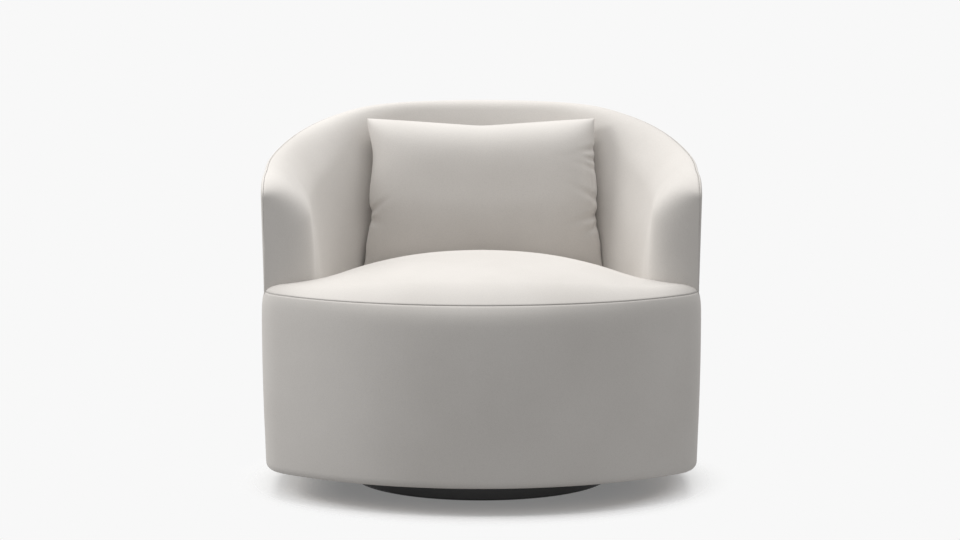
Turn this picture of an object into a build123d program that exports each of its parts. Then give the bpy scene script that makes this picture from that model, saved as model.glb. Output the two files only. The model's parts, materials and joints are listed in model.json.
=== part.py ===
from build123d import *
import math
import os

# Overall size in millimetres: front towards -Y, swivel axis on Z, floor at Z = 0
width = 820.0
depth = 770.0
crest_height = 690.0
seam_height = 388.0
drum_bottom = 48.0

# Fits and cloth
skin = 2.5
ease = 0.4
hole_play = 0.25

# Plan outline of the chair: round back, short straight sides, round corners, bowed front
drum_inset = 0.5
front_radius = 560.0
corner_radius = 90.0
half_width = width / 2
back_y = depth / 2 - half_width
front_y = front_radius - depth / 2 - drum_inset
corner_x = half_width - corner_radius
corner_y = front_y - math.sqrt((front_radius - corner_radius) ** 2 - corner_x ** 2)

# Drum: boxing band over padding over a bent board wall
drum_round = 30.0
drum_low_inset = 6.0
drum_seam_inset = 5.5
pad_inset = 18.0
wall_thick = 4.0
hem_width = 39.0
pad_rise = 11.0
swell_low = 102.0
swell_mid = 192.0
swell_drop = 44.0
pad_low = drum_bottom + pad_rise
wall_out = pad_inset + ease
wall_in = wall_out + wall_thick
core_inset = wall_in + ease

# Boards, posts and webbing inside the drum
board_thick = 18.0
board_chamfer = 14.0
rail_thick = 22.0
rail_width = 65.0
rail_drop = 44.0
post_size = 40.0
strap_thick = 1.5
strap_width = 55.0
strap_pitch = 90.0
strap_reach = 26.0
deck_thick = 1.4
board_low = drum_bottom + skin
board_top = board_low + board_thick
rail_top = seam_height - rail_drop
rail_low = rail_top - rail_thick
deck_low = rail_top + 2 * strap_thick + 2 * ease
deck_top = deck_low + deck_thick
foam_low = deck_top + ease

# Base and swivel
glide_height = 3.0
glide_radius = 15.0
glide_ring = 205.0
glide_count = 6
nail_radius = 1.6
nail_length = 12.0
plinth_radius = 245.0
plinth_top = 30.0
plinth_bore = 55.0
plinth_round_low = 4.0
plinth_round_top = 6.0
plate_thick = 2.5
plate_in = 60.0
plate_out = 150.0
ball_radius = 5.0
ball_ring = 120.0
ball_count = 24
ball_play = 0.3
race_half = 9.0
race_gap = 3.0
lip_thick = 2.0
lip_reach = 3.0
cage_thick = 1.2
cage_half = 8.0
screw_count = 6
screw_radius = 3.0
screw_ring = 82.0
screw_head_radius = 6.0
screw_head = 3.0
screw_depth = 16.0
nut_barrel = 4.5
nut_flange_radius = 10.0
nut_flange = 1.6
ball_z = (plinth_top + board_low) / 2

# Seat: thin lip over the drum edge and a crown between the arms
lip_height = 9.0
lip_inset = 9.5
crown_sink = 6.0
crown_rise = 65.0
crown_half = 385.0
crown_back = 206.0
crown_front = 376.0
crown_front_radius = 550.0
crown_corner = 75.0
crown_power = 2.1
crown_low = seam_height - crown_sink

# Back and arms: one padded wall standing round the drum
foot_lean = 5.0
edge_radius = 10.0
back_thick_low = 95.0
back_thick_top = 86.0
arm_thick_low = 84.0
arm_thick_top = 79.0
crest_turn = 300.0
crest_slope = 0.30
crest_soft = 40.0
arm_turn = 90.0
arm_slope = 0.19
nose_y = -190.0
nose_run = 80.0
nose_drop = 45.0
nose_round = 34.0
quarter_run = half_width * math.pi / 2
nose_q = quarter_run + back_y - nose_y

# Layers of the back, measured inwards from its outside face
wadding_in = 9.0
panel_thick = 3.0
rib_in = 46.0
lining_thick = 4.0
rib_thick = 18.0
rail_depth = 35.0
rail_cover = 26.0
panel_out = wadding_in + ease
panel_in = panel_out + panel_thick
rib_out = panel_in + 2 * ease
lining_out = rib_in + ease
lining_in = lining_out + lining_thick
frame_end = 35.0
rail_joint_y = 180.0
shell_step = 16.0
rib_steps = (165.0, 330.0, 495.0, 640.0, 750.0)
rib_screw_radius = 3.0
rib_screw_length = 30.0
rib_screw_head_radius = 6.0
rib_screw_head = 3.5

# Loose lumbar pillow
pillow_width = 450.0
pillow_height = 300.0
pillow_thick = 130.0
pillow_edge = 7.0
pillow_sag = 12.0
pillow_y = 190.0
pillow_rise = 140.0
pillow_tilt = 16.0
pillow_z = seam_height + pillow_rise

parts = {}


def bent(a, middle, b):
    """Arc through three points."""
    return Edge.make_three_point_arc(Vector(*a), Vector(*middle), Vector(*b))


def plan(half, back, front, arc, corner, z, scale=1.0, centre_y=0.0):
    """Closed plan line: round back, straight sides, round corners and a bowed front."""
    mid_y = back - half
    arc_y = arc - front
    cx = half - corner
    cy = arc_y - math.sqrt((arc - corner) ** 2 - cx ** 2)
    turn = math.atan2(cx, arc_y - cy)
    slant = half * math.sqrt(0.5)
    joint = (cx + corner * math.sin(turn), cy - corner * math.cos(turn))
    knee = (math.pi / 2 + turn) / 2
    bow = (cx + corner * math.sin(knee), cy - corner * math.cos(knee))

    def at(x, y):
        return (x * scale, centre_y + (y - centre_y) * scale, z)

    edges = [
        bent(at(half, mid_y), at(slant, mid_y + slant), at(0, back)),
        bent(at(0, back), at(-slant, mid_y + slant), at(-half, mid_y)),
        Edge.make_line(at(-half, mid_y), at(-half, cy)),
        bent(at(-half, cy), at(-bow[0], bow[1]), at(-joint[0], joint[1])),
        bent(at(-joint[0], joint[1]), at(0, -front), at(joint[0], joint[1])),
        bent(at(joint[0], joint[1]), at(bow[0], bow[1]), at(half, cy)),
        Edge.make_line(at(half, cy), at(half, mid_y)),
    ]
    return Wire(edges)


def outline(inset, z):
    """Plan line of the chair, a set distance inside its widest line."""
    return plan(
        half_width - inset,
        depth / 2 - inset,
        depth / 2 + drum_inset - inset,
        front_radius - inset,
        corner_radius - inset,
        z,
    )


def prism(inset, low, high):
    """Upright block inside the plan line."""
    return extrude(Face(outline(inset, low)), amount=high - low, dir=(0, 0, 1))


def ring(outer, inner, low, high):
    """Upright hoop between two plan lines."""
    return prism(outer, low, high) - prism(inner, low - 1, high + 1)


def disc(radius, low, high, x=0.0, y=0.0):
    """Upright round bar between two heights."""
    return Pos(x, y, (low + high) / 2) * Cylinder(radius, high - low)


def turned(points):
    """Solid turned about the swivel axis from a closed line of radius and height pairs."""
    face = make_face(Polyline([(r, 0, z) for r, z in points], close=True))
    return revolve(face, axis=Axis.Z)


def spots(count, radius, start=0.0):
    """Evenly spaced places round the swivel axis."""
    for index in range(count):
        angle = math.radians(start + 360.0 * index / count)
        yield radius * math.cos(angle), radius * math.sin(angle)


def drum_form(inset, top):
    """Softly swollen drum, rounded in at the floor and at the seam."""
    levels = []
    for angle in (0, 30, 60, 90):
        bend = math.radians(angle)
        radius = drum_round - inset
        z = drum_bottom + drum_round - radius * math.cos(bend)
        levels.append((z, drum_low_inset + drum_round - radius * math.sin(bend)))
    swell = drum_low_inset - drum_inset
    levels.append((drum_bottom + swell_low, drum_inset + 0.6 * swell + inset))
    levels.append((drum_bottom + swell_mid, drum_inset + 0.2 * swell + inset))
    levels.append((seam_height - swell_drop, drum_inset + inset))
    levels.append((seam_height - 16.0, drum_inset + 1.0 + inset))
    levels.append((seam_height - 6.0, drum_inset + 2.6 + inset))
    levels.append((top, drum_seam_inset + inset))
    return Solid.make_loft([outline(step, z) for z, step in levels])


def seat_form(inset):
    """Thin lip over the drum edge joined to the crown between the arms."""
    low = seam_height + ease
    lip = Solid.make_loft([
        outline(drum_seam_inset + inset, low),
        outline(lip_inset + inset, low + lip_height - inset),
    ])
    wires = []
    for scale in (1.0, 0.9, 0.75, 0.55, 0.3, 0.1):
        z = crown_low + crown_rise * (1.0 - scale ** crown_power) - inset
        wires.append(plan(
            crown_half - inset,
            crown_back - inset,
            crown_front - inset,
            crown_front_radius - inset,
            crown_corner - inset,
            z,
            scale,
            (crown_back - crown_front) / 2,
        ))
    crown = Solid.make_loft(wires)
    floor = Pos(0, 0, low - 50) * Box(2 * width, 2 * depth, 100)
    return lip + (crown - floor)


def place(q):
    """Outside plan point and outward direction at a run round the back from its middle."""
    side = 1.0 if q >= 0 else -1.0
    run = abs(q)
    if run <= quarter_run:
        turn = run / half_width
        out = (side * math.sin(turn), math.cos(turn))
        return (half_width * out[0], back_y + half_width * out[1]), out
    return (side * half_width, back_y - (run - quarter_run)), (side, 0.0)


def spot(q, u, z):
    """Point a set distance inside the outside face."""
    foot, out = place(q)
    return (foot[0] - out[0] * u, foot[1] - out[1] * u, z)


def soft_step(run):
    """Nothing before a turn and the run itself after it, with a soft bend between."""
    return (run + math.sqrt(run * run + crest_soft ** 2)) / 2


def crest_line(q):
    """Height of the top line before its noses are rounded: level back, falling to sloping arms."""
    foot, out = place(q)
    fall = crest_slope * soft_step(crest_turn - foot[1])
    fall -= (crest_slope - arm_slope) * soft_step(arm_turn - foot[1])
    return crest_height - fall


def crest(q, inset=0.0):
    """Height of the top line, rounded down at the nose of each arm."""
    to_tip = nose_q - inset - abs(q)
    run = nose_run - inset
    drop = 0.0
    if to_tip < run:
        reach = min(1.0, 1.0 - to_tip / run)
        drop = (nose_drop - inset) * (1.0 - math.sqrt(1.0 - reach * reach))
    return crest_line(q) - drop - inset


def lean(q, z):
    """How far the outside face stands in at a height."""
    high = crest_line(q) - edge_radius
    return foot_lean * max(0.0, (high - z) / (high - seam_height))


def runs(end, inset=0.0):
    """Section places from one nose round the back to the other."""
    half = [0.0, 80.0, 160.0, 240.0, 320.0, 400.0, 480.0, 560.0, quarter_run, 700.0]
    tip = nose_q - inset
    half += [tip - nose_run * share for share in (0.58, 0.35, 0.2, 0.092, 0.031, 0.0)]
    half = [q for q in half if q <= end - 3.0] + [end]
    return [-q for q in reversed(half[1:])] + half


def wall_form(inset, low):
    """Padded wall: upright outside, tight outer top edge, broad roll to the inside face."""
    wires = []
    tip = nose_q - inset
    for q in runs(tip, inset):
        share = min(1.0, abs(q) / quarter_run) ** 2
        thin = back_thick_top + (arm_thick_top - back_thick_top) * share
        thick = back_thick_low + (arm_thick_low - back_thick_low) * share
        radius = nose_round - inset
        to_tip = tip - abs(q)
        cut = 0.0
        if to_tip < radius:
            cut = radius - math.sqrt(radius ** 2 - (radius - to_tip) ** 2)
        high = crest(q, inset)
        edge = max(0.8, edge_radius - inset)
        top_in = thin - inset - cut
        stand = inset + lean(q, high - edge)
        roll = top_in - stand - edge
        rise = (high - roll - low) / (high - roll - seam_height)
        low_in = top_in + (thick - thin) * rise
        bend = math.sqrt(0.5)
        a = spot(q, inset + lean(q, low), low)
        b = spot(q, stand, high - edge)
        ab = spot(q, stand + edge * (1 - bend), high - edge * (1 - bend))
        c = spot(q, stand + edge, high)
        cd = spot(q, stand + edge + roll * bend, high - roll * (1 - bend))
        d = spot(q, top_in, high - roll)
        e = spot(q, low_in, low)
        wires.append(Wire([
            Edge.make_line(a, b),
            bent(b, ab, c),
            bent(c, cd, d),
            Edge.make_line(d, e),
            Edge.make_line(e, a),
        ]))
    return Solid.make_loft(wires)


def close_runs(end):
    """The same section places with more between them, for thin shells laid in short straight strips."""
    places = runs(end)
    close = [places[0]]
    for start, stop in zip(places, places[1:]):
        count = math.ceil((stop - start) / shell_step)
        close += [start + (stop - start) * step / count for step in range(1, count + 1)]
    return close


def band(u_out, u_in, top, end, low=None, bottom=None, shell=False):
    """Curved board or layer in the wall, following its top line."""
    wires = []
    for q in close_runs(end) if shell else runs(end):
        high = crest(q) - top
        foot = low if bottom is None else crest(q) - bottom
        points = [
            spot(q, u_out + lean(q, foot), foot),
            spot(q, u_out + lean(q, high), high),
            spot(q, u_in + lean(q, high), high),
            spot(q, u_in + lean(q, foot), foot),
        ]
        wires.append(Wire.make_polygon(points, close=True))
    return Solid.make_loft(wires, ruled=shell)


def plate(q, points, thick):
    """Upright board standing square to the wall."""
    foot, out = place(q)
    face = Face(Wire.make_polygon([spot(q, u, z) for u, z in points], close=True))
    return extrude(face, amount=thick / 2, dir=(-out[1], out[0], 0), both=True)


def pillow_form(inset):
    """Knife-edged pillow with drawn-in sides and pointed corners."""
    wires = []
    for side in (-1.0, -0.93, -0.78, -0.5, 0.0, 0.5, 0.78, 0.93, 1.0):
        reach = abs(side)
        x = side * (pillow_width / 2 - inset)
        half = pillow_height / 2 - pillow_sag * (1 - reach ** 2) - inset
        plump = (pillow_thick / 2 - pillow_edge) * math.sqrt(max(0.0, 1 - reach ** 2.6))
        edge = pillow_edge / 2 + 0.5 - min(inset, 2.0)
        bulge = max(edge + 0.6, plump + pillow_edge - inset)
        a = (x, -edge, -half)
        b = (x, -edge, half)
        c = (x, edge, half)
        d = (x, edge, -half)
        wires.append(Wire([
            bent(a, (x, -bulge, 0), b),
            Edge.make_line(b, c),
            bent(c, (x, bulge, 0), d),
            Edge.make_line(d, a),
        ]))
    return Pos(0, pillow_y, pillow_z) * Rot(-pillow_tilt, 0, 0) * Solid.make_loft(wires)


# Floor glides: nailed under the plinth
glides = []
for x, y in spots(glide_count, glide_ring, 30.0):
    foot = disc(glide_radius, 0, glide_height)
    foot = chamfer(foot.edges().group_by(Axis.Z)[0], 0.8)
    nail = disc(nail_radius, glide_height - 0.5, glide_height + nail_length)
    glides.append(Pos(x, y, 0) * (foot + nail))
parts["floor_glides"] = glides

# Plinth: round board with softened edges, bored for the nails and the swivel screws
plinth = disc(plinth_radius, glide_height, plinth_top)
plinth = fillet(plinth.edges().group_by(Axis.Z)[0], plinth_round_low)
plinth = fillet(plinth.edges().group_by(Axis.Z)[-1], plinth_round_top)
plinth -= disc(plinth_bore, 0, plinth_top + 1)
for x, y in spots(glide_count, glide_ring, 30.0):
    plinth -= disc(nail_radius + hole_play, 0, glide_height + nail_length + hole_play, x, y)
screw_low = plinth_top + plate_thick - screw_depth
for x, y in spots(screw_count, screw_ring):
    plinth -= disc(screw_radius + hole_play, screw_low - hole_play, plinth_top + 1, x, y)
parts["plinth"] = plinth

# Swivel plates: the upper one turns on the balls and its skirt hooks under the lower race
race_top = ball_z - race_gap / 2
race_low = ball_z + race_gap / 2
race_in = ball_ring - race_half
race_out = ball_ring + race_half
flange = race_out + lip_reach
skirt_in = flange + 1.0
skirt_out = skirt_in + lip_thick
hook_low = plinth_top + plate_thick + 1.0
groove = Pos(0, 0, ball_z) * Torus(ball_ring, ball_radius + ball_play)
lower = turned([
    (plate_in, plinth_top),
    (race_out, plinth_top),
    (race_out, race_top - lip_thick),
    (flange, race_top - lip_thick),
    (flange, race_top),
    (race_in, race_top),
    (race_in, plinth_top + plate_thick),
    (plate_in, plinth_top + plate_thick),
])
upper = turned([
    (plate_in, board_low),
    (plate_out, board_low),
    (plate_out, board_low - plate_thick),
    (skirt_out, board_low - plate_thick),
    (skirt_out, hook_low),
    (race_out + 1.0, hook_low),
    (race_out + 1.0, hook_low + lip_thick),
    (skirt_in, hook_low + lip_thick),
    (skirt_in, board_low - plate_thick),
    (race_out, board_low - plate_thick),
    (race_out, race_low),
    (race_in, race_low),
    (race_in, board_low - plate_thick),
    (plate_in, board_low - plate_thick),
])
lower -= groove
upper -= groove
for x, y in spots(screw_count, screw_ring):
    lower -= disc(screw_radius + hole_play, plinth_top - 1, race_top, x, y)
    upper -= disc(screw_radius + hole_play, race_low, board_low + 1, x, y)
parts["turntable_lower_plate"] = lower
parts["turntable_upper_plate"] = upper

# Plate screws into the plinth and bolts up into the tee nuts of the base board
head_low = plinth_top + plate_thick
bolt_head = board_low - plate_thick
screws = []
bolts = []
nuts = []
for x, y in spots(screw_count, screw_ring):
    head = disc(screw_head_radius, head_low, head_low + screw_head, x, y)
    head = fillet(head.edges().group_by(Axis.Z)[-1], 1.2)
    screws.append(head + disc(screw_radius, screw_low, head_low + 0.5, x, y))
    head = disc(screw_head_radius, bolt_head - screw_head, bolt_head, x, y)
    head = fillet(head.edges().group_by(Axis.Z)[0], 1.2)
    bolts.append(head + disc(screw_radius, bolt_head - 0.5, board_top + 4.0, x, y))
    barrel = disc(nut_barrel, board_low + 3.0, board_top + 0.5, x, y)
    nut = barrel + disc(nut_flange_radius, board_top, board_top + nut_flange, x, y)
    nuts.append(nut - disc(screw_radius + hole_play, board_low, board_top + 9.0, x, y))
parts["lower_plate_screws"] = screws
parts["upper_plate_bolts"] = bolts
parts["tee_nuts"] = nuts

# Ball race: the balls and the flat cage that spaces them
cage = disc(ball_ring + cage_half, ball_z - cage_thick / 2, ball_z + cage_thick / 2)
cage -= disc(ball_ring - cage_half, ball_z - 5, ball_z + 5)
balls = []
for x, y in spots(ball_count, ball_ring):
    balls.append(Pos(x, y, ball_z) * Sphere(ball_radius))
    cage -= disc(ball_radius + ball_play, ball_z - 5, ball_z + 5, x, y)
parts["bearing_balls"] = balls
parts["ball_cage"] = cage

# Base board, bored for the tee nuts and open in the middle
board = prism(core_inset, board_low, board_top)
board = chamfer(board.faces().sort_by(Axis.Z)[0].edges(), board_chamfer)
board -= disc(plinth_bore, board_low - 1, board_top + 1)
for x, y in spots(screw_count, screw_ring):
    board -= disc(screw_radius + hole_play, board_low - 1, board_top + 1, x, y)
    board -= disc(nut_barrel + hole_play, board_low + 3.0 - hole_play, board_top + 1, x, y)
parts["base_board"] = board

# Dust cloth under the board, inside the hem of the boxing
cloth_inset = drum_low_inset + drum_round + hem_width + ease
cloth = prism(cloth_inset, board_low - ease - 0.8, board_low - ease)
parts["dust_cover"] = cloth - disc(plate_out + 1.0, 0, board_top)

# Drum wall, padding and boxing
parts["drum_wall"] = ring(wall_out, wall_in, pad_low, seam_height - ease)
pad = drum_form(skin + ease, seam_height - ease)
pad -= prism(pad_inset, 0, crest_height)
pad -= Pos(0, 0, pad_low - 50) * Box(2 * width, 2 * depth, 100)
parts["boxing_pad"] = pad
boxing = drum_form(0, seam_height) - drum_form(skin, seam_height)
boxing -= prism(cloth_inset - ease, 0, crest_height)
parts["boxing_cover"] = boxing

# Seat rail, the posts that carry it and the webbing stretched over it
rail = ring(core_inset, core_inset + rail_width, rail_low, rail_top)
post_runs = (80.0, 250.0, 415.0, 570.0)
posts = []
for side in (-1.0, 1.0):
    for run in post_runs:
        near = core_inset + 1.0
        corners = [
            (near, board_top),
            (near + post_size, board_top),
            (near + post_size, rail_low),
            (near, rail_low),
        ]
        posts.append(plate(side * run, corners, post_size))
front_post_y = -depth / 2 - drum_inset + core_inset + post_size / 2 + 20.0
post_tall = rail_low - board_top
for x in (-220.0, 0.0, 220.0):
    y = front_post_y + x * x / (2 * front_radius)
    post = Pos(x, y, board_top + post_tall / 2) * Box(post_size, post_size, post_tall)
    posts.append(post)
parts["drum_posts"] = posts

strap_in = core_inset + rail_width - strap_reach
field = prism(strap_in, rail_top - 5, rail_top + 20)
long_low = rail_top
cross_low = rail_top + strap_thick + ease
long_straps = []
cross_straps = []
for index in range(-2, 3):
    x = strap_pitch * index * 1.1
    strap = Pos(x, 0, long_low + strap_thick / 2) * Box(strap_width, 2 * depth, strap_thick)
    long_straps.append(strap & field)
    y = strap_pitch * index - 30.0
    strap = Pos(0, y, cross_low + strap_thick / 2) * Box(2 * width, strap_width, strap_thick)
    cross_straps.append(strap & field)
parts["webbing_lengthwise"] = long_straps
parts["webbing_crosswise"] = cross_straps
parts["deck_cloth"] = prism(strap_in - 1.0, deck_low, deck_top)

# Frame of the back: ribs on the seat rail under a top rail in three lengths
frame_q = nose_q - frame_end
top_rail_low = rail_cover + rail_depth
top_rail = band(rib_out, rib_in, rail_cover, frame_q, bottom=top_rail_low)
behind = Pos(0, rail_joint_y + depth, crest_height / 2) * Box(2 * width, 2 * depth, 2 * crest_height)
ahead = Pos(0, rail_joint_y - ease - depth, crest_height / 2) * Box(2 * width, 2 * depth, 2 * crest_height)
right_half = Pos(width, 0, crest_height / 2) * Box(2 * width, 4 * depth, 2 * crest_height)
parts["back_top_rail"] = top_rail & behind
parts["arm_rail_right"] = top_rail & ahead & right_half
parts["arm_rail_left"] = mirror(parts["arm_rail_right"], about=Plane.YZ)
over = band(0.0, rib_in + 20.0, -60.0, frame_q + 15.0, bottom=top_rail_low + ease)


def rib(q):
    """Rib from the seat rail up to the top rail, stepped in over the drum wall."""
    step = seam_height + 2 * ease
    high = crest(q)
    points = [
        (core_inset + ease, rail_top),
        (core_inset + ease, step),
        (rib_out + lean(q, step), step),
        (rib_out + lean(q, high), high),
        (rib_in - ease + lean(q, high), high),
        (rib_in - ease + lean(q, rail_top), rail_top),
    ]
    hole = spot(q, (core_inset + rib_in + foot_lean) / 2, rail_top)
    board = plate(q, points, rib_thick) - over
    depth_in = rib_screw_length - rail_thick + hole_play
    return board - disc(rib_screw_radius + hole_play, rail_top - 1, rail_top + depth_in, hole[0], hole[1])


rib_screws = []
for index, run in enumerate((0.0,) + rib_steps):
    for side, name in ((1.0, "right"), (-1.0, "left")):
        q = side * run
        if run == 0.0 and side < 0:
            continue
        label = "back_rib_middle" if run == 0.0 else f"back_rib_{name}_{index}"
        parts[label] = rib(q)
        x, y, z = spot(q, (core_inset + rib_in + foot_lean) / 2, rail_top)
        head = disc(rib_screw_head_radius, rail_low - rib_screw_head, rail_low, x, y)
        shank = disc(rib_screw_radius, rail_low - 0.5, rail_low + rib_screw_length, x, y)
        rib_screws.append(head + shank)
        rail -= disc(rib_screw_radius + hole_play, rail_low - 1, rail_top + 1, x, y)
parts["seat_rail"] = rail
parts["rib_screws"] = rib_screws

# Linings and padding of the back
lining_low = rail_top + ease
parts["inside_back_panel"] = band(lining_out, lining_in, rail_cover + 8.0, frame_q, low=lining_low, shell=True)
shelf = seam_height + 2 * ease
parts["outside_back_panel"] = band(panel_out, panel_in, edge_radius + 6.0, nose_q - 8.0, low=shelf, shell=True)
parts["outside_wadding"] = band(skin + ease, wadding_in, edge_radius + 3.0, nose_q - 6.0, low=shelf, shell=True)
outer_end = nose_q - skin - ease
parts["outside_back_cover"] = band(0.0, skin, edge_radius, outer_end, low=seam_height + ease, shell=True)
drum_zone = prism(-20.0, 0, seam_height + ease) - prism(core_inset + ease, -1, crest_height)
outer_zone = band(-30.0, panel_in + ease, edge_radius - ease, outer_end + ease, low=seam_height - 5)
frame_zone = band(panel_in - 5, lining_in + ease, rail_cover - ease, frame_q + ease, low=200.0)
inner_form = wall_form(skin + ease, foam_low)
parts["inside_back_foam"] = inner_form - frame_zone - outer_zone - drum_zone
cover_zone = band(-30.0, skin + ease, edge_radius - ease, outer_end + ease, low=200.0)
inside_cover = wall_form(0, foam_low) - wall_form(skin, foam_low - 10)
parts["inside_back_cover"] = inside_cover - cover_zone - drum_zone

# Seat foam and cover, cut to the foot of the back and arms
wall_gap = wall_form(-ease, rail_low)
below = Pos(0, 0, seam_height / 2) * Box(2 * width, 2 * depth, seam_height + 4.0)
foam = seat_form(skin + ease) + prism(core_inset + ease, foam_low, seam_height + ease)
parts["seat_foam"] = foam - wall_gap
parts["seat_cover"] = seat_form(0) - seat_form(skin) - wall_gap

# Pillow, settled on the seat and between the arms
press = skin + 2 * ease
seat_block = seat_form(-ease) + below
core = pillow_form(skin) - wall_form(-skin - ease, rail_low) - seat_form(-skin - ease)
parts["pillow_cover"] = pillow_form(0) - wall_gap - seat_block - core
filling = pillow_form(press) - wall_form(-press, rail_low) - seat_form(-press)
parts["pillow_insert"] = filling - below


def solids_of(shape):
    """All solids of a piece or of a group of pieces."""
    if isinstance(shape, (list, tuple)):
        found = []
        for item in shape:
            found.extend(item.solids())
        return found
    return list(shape.solids())


os.makedirs("parts", exist_ok=True)
for node, shape in parts.items():
    solids = solids_of(shape)
    piece = solids[0] if len(solids) == 1 else Compound(children=solids)
    export_step(piece, f"parts/{node}.step")
    print(node, len(solids), round(sum(s.volume for s in solids) / 1000.0, 1), "cm3")
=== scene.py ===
# %% [markdown]
# A round swivel armchair: a padded drum on a black turning plinth, a wall that
# sweeps round the back as two arms, a crowned seat and one loose pillow.
# The frame, the swivel and the webbing come from the CAD model and are never moved.
# This lesson dresses them: each soft solid gets a sewn, padded cover of its own.

# %% Load the frame and keep its box
import json
import math
import bmesh
import bpy
from mathutils import Matrix, Vector
from mathutils.kdtree import KDTree


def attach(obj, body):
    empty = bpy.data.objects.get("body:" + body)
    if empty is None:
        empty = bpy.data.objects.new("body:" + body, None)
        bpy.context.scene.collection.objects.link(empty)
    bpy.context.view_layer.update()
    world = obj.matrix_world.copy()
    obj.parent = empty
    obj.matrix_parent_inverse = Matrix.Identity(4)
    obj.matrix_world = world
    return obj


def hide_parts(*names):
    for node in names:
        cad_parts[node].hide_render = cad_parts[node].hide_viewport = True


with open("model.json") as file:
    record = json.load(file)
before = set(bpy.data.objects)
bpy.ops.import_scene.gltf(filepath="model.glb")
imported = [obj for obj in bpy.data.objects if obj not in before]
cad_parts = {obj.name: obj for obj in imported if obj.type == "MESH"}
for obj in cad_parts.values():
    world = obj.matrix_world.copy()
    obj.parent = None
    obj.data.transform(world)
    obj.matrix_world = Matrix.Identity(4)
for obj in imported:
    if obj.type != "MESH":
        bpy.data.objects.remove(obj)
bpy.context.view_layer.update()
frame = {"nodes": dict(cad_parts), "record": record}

scene = bpy.context.scene
scene.view_settings.view_transform = "Standard"

# %% [markdown]
# The photograph is taken from the front and a little above, with a long lens.
# A long lens far away keeps both arms the same size and the verticals nearly straight.
# The camera looks straight at the middle of the chair, so it needs no shift.

# %% Camera
camera_place = Vector((0.0, -7.0, 1.365))
camera_aim = Vector((-0.0028, 0.0, 0.4026))
focal_length = 138.75
sensor_width = 36.0

camera_data = bpy.data.cameras.new("studio_camera")
camera_data.lens = focal_length
camera_data.sensor_width = sensor_width
camera = bpy.data.objects.new("studio_camera", camera_data)
camera.location = camera_place
camera.rotation_euler = (camera_aim - camera_place).to_track_quat("-Z", "Y").to_euler()
scene.collection.objects.link(camera)
scene.camera = camera
print("camera pitch", round(90 - math.degrees(camera.rotation_euler.x), 2), "degrees down")

# %% [markdown]
# The chair stands in an empty white studio. A bright world would do for that, but it would
# also light the front of the drum, which lies in soft shade. So the world has two sides:
# Light Path shows white to the camera, and the chair itself gets a weaker, even light.

# %% Surround
paper_white = 0.939
ambient_level = 0.46

world = bpy.data.worlds.new("studio_world")
world.use_nodes = True
scene.world = world


def wire(tree, pairs):
    for source, target in pairs:
        tree.links.new(source, target)


def seen_directly(tree):
    """1 for rays that show the surround itself: from the camera, a gloss or a glass."""
    path = tree.nodes.new("ShaderNodeLightPath")
    first = tree.nodes.new("ShaderNodeMath")
    first.operation = "MAXIMUM"
    second = tree.nodes.new("ShaderNodeMath")
    second.operation = "MAXIMUM"
    wire(tree, [(path.outputs["Is Camera Ray"], first.inputs[0]),
                (path.outputs["Is Glossy Ray"], first.inputs[1]),
                (first.outputs[0], second.inputs[0]),
                (path.outputs["Is Transmission Ray"], second.inputs[1])])
    return second.outputs[0]


tree = world.node_tree
tree.nodes.clear()
sky_seen = tree.nodes.new("ShaderNodeBackground")
sky_seen.inputs["Color"].default_value = (paper_white, paper_white, paper_white, 1)
sky_light = tree.nodes.new("ShaderNodeBackground")
sky_light.inputs["Color"].default_value = (1.0, 1.0, 1.0, 1)
sky_light.inputs["Strength"].default_value = ambient_level
sky_mix = tree.nodes.new("ShaderNodeMixShader")
sky_out = tree.nodes.new("ShaderNodeOutputWorld")
wire(tree, [(seen_directly(tree), sky_mix.inputs[0]), (sky_light.outputs[0], sky_mix.inputs[1]),
            (sky_seen.outputs[0], sky_mix.inputs[2]), (sky_mix.outputs[0], sky_out.inputs["Surface"])])
print("surround: white at", paper_white, "seen, ambient light at", ambient_level)

# %% [markdown]
# Most of the light falls from one wide soft box overhead, set a little behind the chair, so
# the seat and the crest are bright and the fronts are not. A weaker box on the left
# brightens the left side of the drum and the inside of the right arm.
# Area lamps are used because their size alone makes the shadows soft.

# %% Soft boxes
def soft_box(name, place, aim, width, depth, watts, colour=(1.0, 0.995, 0.985)):
    lamp = bpy.data.lights.new(name, "AREA")
    lamp.shape = "RECTANGLE"
    lamp.size = width
    lamp.size_y = depth
    lamp.energy = watts
    lamp.color = colour
    item = bpy.data.objects.new(name, lamp)
    item.location = place
    item.rotation_euler = (Vector(aim) - Vector(place)).to_track_quat("-Z", "Y").to_euler()
    scene.collection.objects.link(item)
    return item


soft_box("overhead_box", place=(-0.05, 0.55, 5.0), aim=(0, 0, 0.4), width=4.0, depth=3.4, watts=226)
soft_box("left_box", place=(-3.0, -0.2, 1.85), aim=(0, 0, 0.45), width=1.4, depth=1.6, watts=40)
print("soft boxes: overhead and left")

# %% [markdown]
# The floor is white paper. The camera sees it lit, with some glow of its own so that the
# shadow under the drum stays pale. It fades into the white surround within half a metre of
# the middle, where the shadow ends. To the light it is a grey paper, because a white one
# would brighten the shaded drum.

# %% Floor
floor_radius = 6.0

floor_mesh = bmesh.new()
bmesh.ops.create_circle(floor_mesh, cap_ends=True, segments=96, radius=floor_radius)
floor_data = bpy.data.meshes.new("studio_floor")
floor_mesh.to_mesh(floor_data)
floor_mesh.free()
floor = bpy.data.objects.new("studio_floor", floor_data)
scene.collection.objects.link(floor)
print("floor: radius", floor_radius, "m")

# %% Paper on the floor
floor_seen = (0.90, 0.90, 0.90, 1)
floor_bounce = (0.42, 0.41, 0.40, 1)
shadow_lift = 0.19
fade_start = 0.35
fade_end = 0.49

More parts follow.
